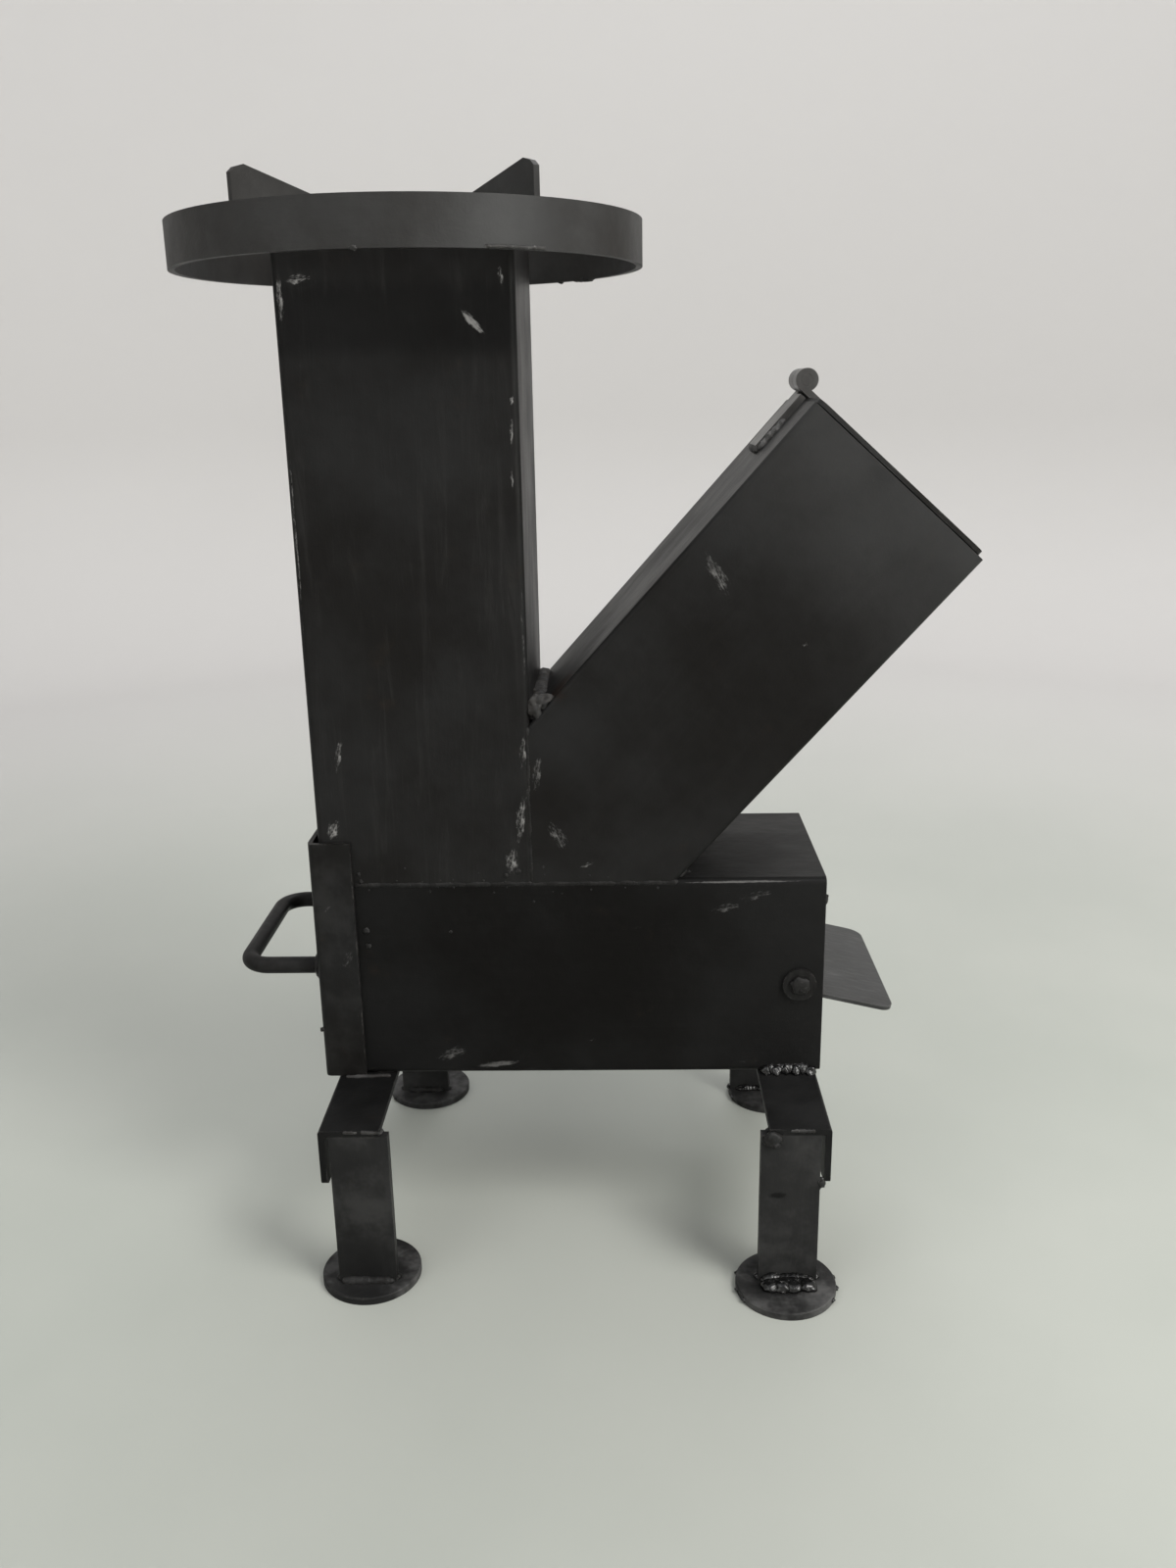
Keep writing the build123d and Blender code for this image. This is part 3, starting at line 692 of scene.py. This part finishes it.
def ring_welds(dull, pale):
    """Tongue to hoop, tongue to chimney corner, and the hoop's own closing weld."""
    inner = RING_RADIUS - RING_THICK
    chimney_corner = TUBE * 0.69
    low = ring_low.z
    tongue_low, tongue_high = support_low.z, ring_high.z
    reach = 2.2                                 # from a support's middle plane to its beads
    welds = Welds(3)
    for angle in (45, 135, 225, 315):
        outward = ring_point(angle, 1, 0) - Vector((CHIMNEY_AXIS, 0, 0))
        for side in (-1, 1):
            for radius in (inner - 0.6, chimney_corner):
                slip = math.degrees(reach / radius) * side
                foot = ring_point(angle + slip, radius, tongue_low + 0.2)
                head = ring_point(angle + slip, radius, tongue_high - 0.6)
                welds.bead([foot, head], outward, 1.8, 1.6, lumpy=0.3)
    closing = 82
    bottom = ring_point(closing, RING_RADIUS - 0.2, low + 1)
    top = ring_point(closing, RING_RADIUS - 0.2, ring_high.z - 1)
    welds.bead([bottom, top], (0, 1, 0), 1.8, 0.6)
    welds.finish("weld_pot_supports", "body", dull)

    edge = Welds(4)
    edge.bead(ring_arc(-66, -51, RING_RADIUS - 0.5, low + 0.7), (0, 0, -1), 1.0, 0.9, lumpy=0.4)
    edge.lump(ring_point(-93, RING_RADIUS - 0.8, low + 0.4), (1.7, 1.2, 1.1), 0.4)
    edge.finish("weld_ring_edge", "body", pale)

    bumps = Welds(15)
    middle = RING_RADIUS - RING_THICK / 2
    bumps.bead(ring_arc(37, 46, middle, low + 0.3), (0, 0, -1), 1.5, 1.1, lumpy=0.4)
    bumps.lump(ring_point(40, middle, low + 0.1), (2.2, 1.6, 1.2), 0.4)
    bumps.lump(ring_point(51, middle, low + 0.2), (1.4, 1.4, 0.9), 0.4)
    bumps.finish("weld_ring_back", "body", dull)


def rail_welds(pale, glossy):
    """Rails to the base tube's underside; the right one is welded more heavily."""
    under = base_low.z
    stitch, half_stitch = 24, 13
    for side, material, wide, seed in (("left", pale, 1.8, 5), ("right", glossy, 4.0, 6)):
        low, high = span(f"leg_rail_{side}")
        start = max(low.x + 1, door_high.x + 2.5)
        end = min(high.x - 1, base_high.x - 2)
        welds = Welds(seed)
        for face, out in ((FRONT, -1), (REAR, 1)):
            line = face - out * (5 - wide)
            welds.bead([(start, line, under + 0.7), (end, line, under + 0.7)], (0, out, 1),
                       wide, wide * 0.9, lumpy=0.35)
        inward = high.x if side == "left" else low.x
        for middle in (-stitch, stitch):
            first = (inward, middle - half_stitch, under - 1)
            last = (inward, middle + half_stitch, under - 1)
            welds.bead([first, last], (0, 0, -1), 2.2, 1.8)
        if side == "left":
            line = door_low.y - 1.3
            first = (door_high.x - 10, line, under + 0.5)
            last = (door_high.x + 12, line + 1, under + 0.5)
            welds.bead([first, last], (0, -1, 1), 1.0, 0.8, lumpy=0.4)
        else:
            blobs = ((start + 3, 2.4), (start + 8, 2.9), (start + 12, 2.3), (start + 17, 2.8),
                     (end - 2, 3.0))
            for x, bulge in blobs:
                welds.lump((x, FRONT - 0.4, under + 0.6), (bulge, 3.6, 3.3), 0.4)
        welds.finish(f"weld_rail_{side}", "body", material)


class Leg:
    """One leg and its disc; out is -1 or +1, the way its outer face looks along y."""

    def __init__(self, place, side):
        self.side = side
        self.low, self.high = span(f"leg_{place}_{side}")
        self.disc_low, self.disc_high = span(f"foot_{place}_{side}")
        self.out = -1 if place == "front" else 1
        self.outer = self.low.y if self.out < 0 else self.high.y
        self.inner = self.high.y if self.out < 0 else self.low.y

    def weld_to_rail(self, tops):
        low, high, out = self.low, self.high, self.out
        runs = ((0.25, 0.5), (0.55, 0.92)) if self.side == "left" else ((0.48, 0.9),)
        line = self.outer - out * 0.2
        for first, last in runs:
            x0 = low.x + (high.x - low.x) * first
            x1 = low.x + (high.x - low.x) * last
            tops.bead([(x0, line, high.z + 2.4), (x1, line, high.z + 2.2)], (0, out, 0), 0.8, 0.7,
                      lumpy=0.4)
        first, last = (low.x + 2, self.inner, high.z - 1), (high.x - 2, self.inner, high.z - 1)
        tops.bead([first, last], (0, -out, -1), 2.4, 1.9, lumpy=0.3)

    def weld_to_disc(self, feet, wide, tall):
        """Beads all round the leg's foot; wide and tall are for its outer face."""
        low, high, out = self.low, self.high, self.out
        line = self.outer + out * 0.6
        level = low.z + 0.6
        feet.bead([(low.x + 1, line, level), (high.x - 1, line, level)], (0, out, 1), wide, tall,
                  lumpy=0.35)
        feet.bead([(low.x + 3, self.inner, level), (high.x - 3, self.inner, level)], (0, -out, 1),
                  2.3, 2.0, lumpy=0.35)
        for edge in (low.x, high.x):
            feet.bead([(edge, low.y + 0.5, level), (edge, high.y - 0.5, level)], (0, 0, 1),
                      1.8, 1.6, lumpy=0.35)

    def add_blob(self, feet):
        """Blob of weld on the upper corner of the outer face."""
        low, out = self.low, self.out
        top = self.high.z
        feet.lump((low.x + 5.2, self.outer + out * 0.6, top - 1.8), (4.4, 2.4, 3.8), 0.25)
        feet.lump((low.x + 6.4, self.outer + out * 2.2, top - 3.4), (2.0, 1.4, 1.6), 0.3)

    def add_pool(self, shiny):
        """Pool of weld on the disc before the leg, and a drip beside the rail's flange."""
        low, high, out = self.low, self.high, self.out
        pool = self.outer + out * 2.8
        disc_top = self.disc_high.z
        level = disc_top + 0.6
        shiny.bead([(low.x + 2, pool, level), (high.x - 2, pool, level)], (0, 0, 1), 5.6, 2.8,
                   lumpy=0.18, ripple=0.03)
        lumps = 4
        for step in range(lumps):
            x = low.x + 5 + step * (high.x - low.x - 10) / (lumps - 1)
            shiny.lump((x, pool + out * 2.8, disc_top + 1.0), (4.4, 4.0, 2.6), 0.25)
        drip = (high.x + 0.8, self.outer - out * 1.0, base_low.z - 28)
        shiny.lump(drip, (1.9, 1.6, 3.2), 0.5)

    def add_slag(self, feet, turns):
        """Drops of slag on the disc's rim; a turn is in degrees from +x, outwards."""
        disc = (self.disc_low + self.disc_high) / 2
        radius = (self.disc_high.x - self.disc_low.x) / 2
        for turn in turns:
            angle = math.radians(turn)
            way = Vector((math.cos(angle), self.out * math.sin(angle), 0))
            feet.lump(disc + way * (radius - 0.6), (1.7, 1.7, self.disc_high.z * 0.3), 0.4)


def leg_welds(dull, pale, glossy):
    """Legs to rails, then legs to foot discs; the right legs are welded more heavily."""
    tops = Welds(7)
    plain = Welds(8)
    shiny = Welds(9)
    for place in ("front", "rear"):
        leg = Leg(place, "left")
        leg.weld_to_rail(tops)
        leg.weld_to_disc(plain, 2.4, 1.6)
        leg.add_slag(plain, (215,))
        leg = Leg(place, "right")
        leg.weld_to_rail(tops)
        leg.weld_to_disc(shiny, 3.6, 3.0)
        leg.add_blob(plain)
        leg.add_pool(shiny)
        leg.add_slag(shiny, (-12, 8, 30, 152, 170, 200))
    tops.finish("weld_leg_tops", "body", pale)
    plain.finish("weld_feet_left", "body", dull)
    shiny.finish("weld_feet_right", "body", glossy)


def door_welds(dull):
    """Collars where the handle's rod meets the door, and spatter on the door's edge."""
    face = door_low.x
    height = (handle_low.z + handle_high.z) / 2
    rod = (handle_high.z - handle_low.z) / 2
    around = rod + 0.4
    steps = 14
    welds = Welds(10)
    for y in (handle_low.y + rod, handle_high.y - rod):
        collar = []
        for step in range(steps + 1):
            turn = 2 * math.pi * step / steps
            rise = around * math.sin(turn)
            collar.append((face - 0.9, y + around * math.cos(turn), height + rise))
        welds.bead(collar, (-1, 0, 0), 1.9, 1.7, lumpy=0.4)
        welds.lump((face - 1.0, y, height - rod), (2.0, 3.2, 2.6), 0.5)
    welds.lump((face + 0.2, door_low.y + 1.0, height - 30), (1.2, 1.0, 1.2), 0.4)
    welds.finish("weld_door_handle", "ash_door", dull)


def hinge_welds(metal):
    """Hinge leaf to the feed tube's top face, and the other leaf to the lid."""
    half = LEAF_WIDTH / 2
    across = Vector((0, half - 1, 0))
    edges = [Vector((0, side * half, 0)) for side in (-1, 1)]
    tail = MOUTH_TOP - FEED_ALONG * LEAF_LENGTH + FEED_OUT * 0.8
    welds = Welds(11)
    for edge in edges:
        welds.bead([tail + edge, tail + edge + FEED_ALONG * 17], FEED_OUT, 1.9, 1.6, lumpy=0.35)
    welds.bead([tail - across, tail + across], FEED_OUT, 2.3, 2.0, lumpy=0.4)
    welds.finish("weld_hinge_tube", "body", metal)

    lid_face = MOUTH_TOP + FEED_ALONG * (LID_OUTSIDE + 0.7)
    tail = lid_face - FEED_OUT * (LEAF_LENGTH + 1.0)
    on_lid = Welds(12)
    on_lid.bead([tail - across, tail + across], FEED_ALONG, 2.2, 1.8, lumpy=0.35)
    for edge in edges:
        on_lid.bead([tail + edge, tail + edge + FEED_OUT * 16], FEED_ALONG, 1.8, 1.5, lumpy=0.35)
    on_lid.finish("weld_hinge_lid", "feed_lid", metal)


def damper_welds(dull):
    """Stitches along the spindle, and the worn lump of weld on its front end."""
    centre_x = (spindle_low.x + spindle_high.x) / 2
    centre_z = (spindle_low.z + spindle_high.z) / 2
    down = Vector((-math.sin(DAMPER_TILT), 0, -math.cos(DAMPER_TILT)))
    outward = Vector((math.cos(DAMPER_TILT), 0, -math.sin(DAMPER_TILT)))
    centre = Vector((centre_x, 0, centre_z))
    reach, half_stitch = 3.2, 8
    welds = Welds(13)
    for middle in (-34, 0, 34):
        for side in (-1, 1):
            line = centre + down * reach + outward * side * reach
            ends = [line + Vector((0, middle + end * half_stitch, 0)) for end in (-1, 1)]
            welds.bead(ends, outward * side - down, 1.9, 1.6, lumpy=0.3)
    welds.lump((centre_x, spindle_low.y + 0.2, centre_z), (4.6, 1.5, 4.6), 0.3)
    welds.lump((centre_x + 1.5, spindle_low.y - 0.2, centre_z - 1.2), (2.4, 1.3, 2.2), 0.5)
    welds.finish("weld_damper", "damper", dull)


DROPS = (                                       # x, z and radius of the drops seen in front
    (18.3, 187, 1.0),
    (20.0, 158.6, 1.7),
    (20.6, 151, 1.4),
    (60, 157.7, 0.6),
    (87, 186, 1.2),
    (93, 188, 1.3),
    (19, 183.5, 1.1),
    (172, 187, 0.7),
)


def spatter(dull):
    """Beads of spatter beside the seams, and the burr on the base tube's open end."""
    welds = Welds(14)
    for x, z, radius in DROPS:
        welds.lump((x, FRONT + 0.1, z), (radius, radius * 0.6, radius), 0.4)
    small_drops = 26
    for _ in range(small_drops):
        x = welds.random.uniform(20, 160)
        z = SEAM + welds.random.gauss(0, 4)
        radius = welds.random.uniform(0.25, 0.6)
        welds.lump((x, FRONT + 0.05, z), (radius, radius * 0.6, radius), 0.4)
    welds.lump((base_high.x - 0.3, FRONT + 2.0, 172), (1.6, 1.6, 2.6), 0.5)
    welds.finish("weld_spatter", "body", dull)


def weld_pieces():
    flush = weld_metal("weld_flush", 0.010, 0.46, 0.05, glint=0.14)
    dull = weld_metal("weld_dull", 0.012, 0.42, 0.04, glint=0.12)
    glossy = weld_metal("weld_glossy", 0.005, 0.13, 0.0, glint=0.7, shine=0.5, coarse=300,
                        relief=0.00010)
    rusty = weld_metal("weld_rusty", 0.030, 0.50, 0.18, glint=0.25)
    pale = weld_metal("weld_pale", 0.032, 0.42, 0.12, glint=0.55)
    # The hinge beads are pale: painted highlight on beads that face away from the lamps.
    hinge = weld_metal("weld_hinge", 0.09, 0.40, 0.12, glint=0.15)
    seam_welds(flush, rusty)
    ring_welds(dull, pale)
    rail_welds(pale, glossy)
    leg_welds(dull, pale, glossy)
    door_welds(dull)
    hinge_welds(hinge)
    damper_welds(dull)
    spatter(dull)


# ---- studio ------------------------------------------------------------------------------
CAMERA_PLACE = at(140.46, -617.92, 402.48)
CAMERA_DOWN = 16.89                             # degrees below level
CAMERA_LEFT = 1.456                             # degrees to the left of straight ahead
CAMERA_ROLL = -1.048
CAMERA_LENS = 29.98                             # millimetres, on a frame 36 mm high


def add_camera():
    camera = bpy.data.objects.new("camera", bpy.data.cameras.new("camera"))
    turn = Matrix.Rotation(math.radians(CAMERA_LEFT), 4, "Z")
    nod = Matrix.Rotation(math.radians(90 - CAMERA_DOWN), 4, "X")
    roll = Matrix.Rotation(math.radians(CAMERA_ROLL), 4, "Z")
    camera.matrix_world = Matrix.Translation(CAMERA_PLACE) @ turn @ nod @ roll
    camera.data.lens = CAMERA_LENS
    camera.data.clip_start = 0.01
    bpy.context.scene.collection.objects.link(camera)
    bpy.context.scene.camera = camera


def add_floor():
    """A round floor that curves up into a wall on all sides, well outside every camera."""
    flat, bend, top, turns, bend_steps = 1.35, 0.35, 2.4, 96, 10
    profile = [(flat, 0.0)]
    for step in range(1, bend_steps + 1):
        angle = math.pi / 2 * step / bend_steps
        profile.append((flat + bend * math.sin(angle), bend * (1 - math.cos(angle))))
    profile.append((flat + bend, top))
    mesh = bmesh.new()
    centre = mesh.verts.new((0, 0, 0))
    circle = [2 * math.pi * step / turns for step in range(turns)]
    rows = []
    for radius, height in profile:
        points = [(radius * math.cos(angle), radius * math.sin(angle), height) for angle in circle]
        rows.append([mesh.verts.new(point) for point in points])
    for step in range(turns):
        after = (step + 1) % turns
        mesh.faces.new((centre, rows[0][step], rows[0][after]))
        for low, high in zip(rows, rows[1:]):
            mesh.faces.new((low[step], high[step], high[after], low[after]))
    for face in mesh.faces:
        face.smooth = True
    data = bpy.data.meshes.new("studio_floor")
    mesh.to_mesh(data)
    mesh.free()
    data.materials.append(pale_floor())
    floor = bpy.data.objects.new("studio_floor", data)
    bpy.context.scene.collection.objects.link(floor)


def add_light(name, place, size, power, colour):
    light = bpy.data.lights.new(name, "AREA")
    light.shape = "DISK"
    light.size = size
    light.energy = power
    light.color = colour
    lamp = bpy.data.objects.new(name, light)
    lamp.location = place
    middle = (cad_box[0] + cad_box[1]) / 2
    lamp.rotation_euler = (middle - Vector(place)).to_track_quat("-Z", "Y").to_euler()
    bpy.context.scene.collection.objects.link(lamp)


def add_lights():
    add_light("key", (1.0, -0.75, 1.55), 0.9, 22, (1.0, 0.98, 0.95))
    add_light("fill", (-1.0, -0.9, 1.3), 1.2, 4.5, (0.96, 1.0, 0.97))
    add_light("back", (0.2, 1.1, 1.7), 1.0, 9, (1.0, 1.0, 1.0))
    add_light("sheen", (1.15, -1.0, 0.6), 0.5, 7, (0.98, 1.0, 0.95))
    world = bpy.data.worlds.new("studio")
    world.use_nodes = True
    background = world.node_tree.nodes["Background"]
    background.inputs["Color"].default_value = (0.95, 0.96, 1.0, 1.0)
    background.inputs["Strength"].default_value = 0.8
    bpy.context.scene.world = world
    bpy.context.scene.view_settings.view_transform = "Standard"


add_camera()
add_floor()
add_lights()
cad_materials()
weld_pieces()
